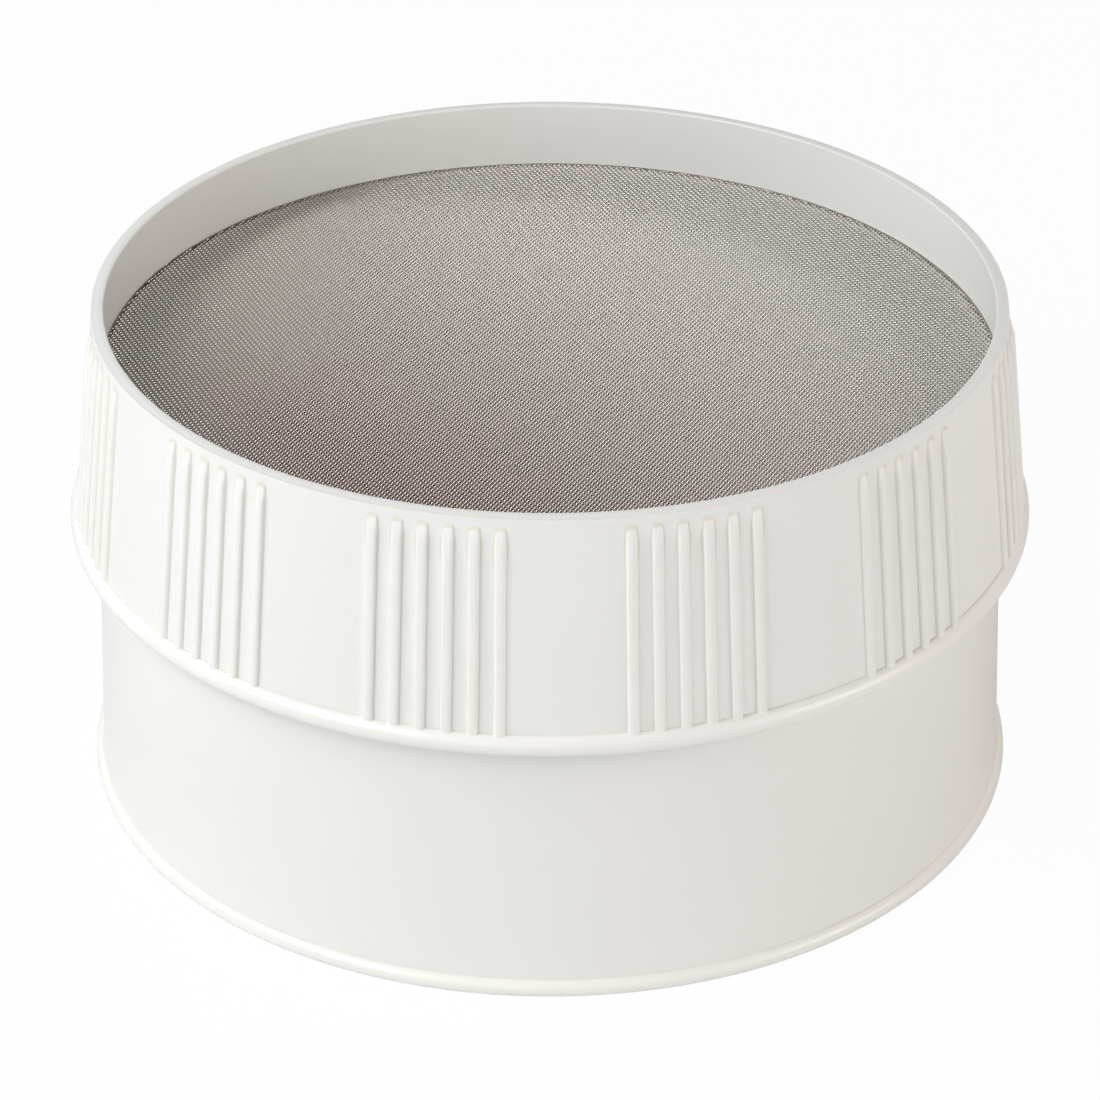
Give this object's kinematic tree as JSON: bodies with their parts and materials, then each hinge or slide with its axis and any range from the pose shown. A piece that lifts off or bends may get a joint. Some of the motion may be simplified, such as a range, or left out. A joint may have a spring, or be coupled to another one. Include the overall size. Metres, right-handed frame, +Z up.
{
  "type": "drum sieve",
  "caption": "Round drum sieve: a flared, ribbed collar drops over a tapered drum, turns to lock, and clamps a changeable woven wire screen.",
  "frame": {"origin": "centre of the foot's flat underside, on the floor", "axes": "+Z up along the sieve's axis of symmetry, +X to the right and +Y away from someone standing in front"},
  "size_m": [0.3262, 0.3262, 0.1742],
  "materials": {
    "drum_plastic": "moulded off-white polypropylene, soft gloss",
    "collar_plastic": "moulded off-white polypropylene, soft gloss",
    "woven_steel": "plain-woven stainless wire, satin",
    "band_steel": "rolled stainless strip, satin"
  },
  "bodies": {
    "drum": {"base_drum": "drum_plastic"},
    "screen": {"wire_cloth": "woven_steel", "edge_band": "band_steel"},
    "collar": {"collar": "collar_plastic"}
  },
  "joints": [
    {"name": "collar_turn", "type": "hinge", "parent": "drum", "child": "screen", "pos_m": [0, 0, 0.149], "axis": [0, 0, -1], "range_deg": [0, 26]},
    {"name": "collar_lift", "type": "slide", "parent": "screen", "child": "collar", "axis": [0, 0, 1], "range_m": [0, 0.08]}
  ]
}
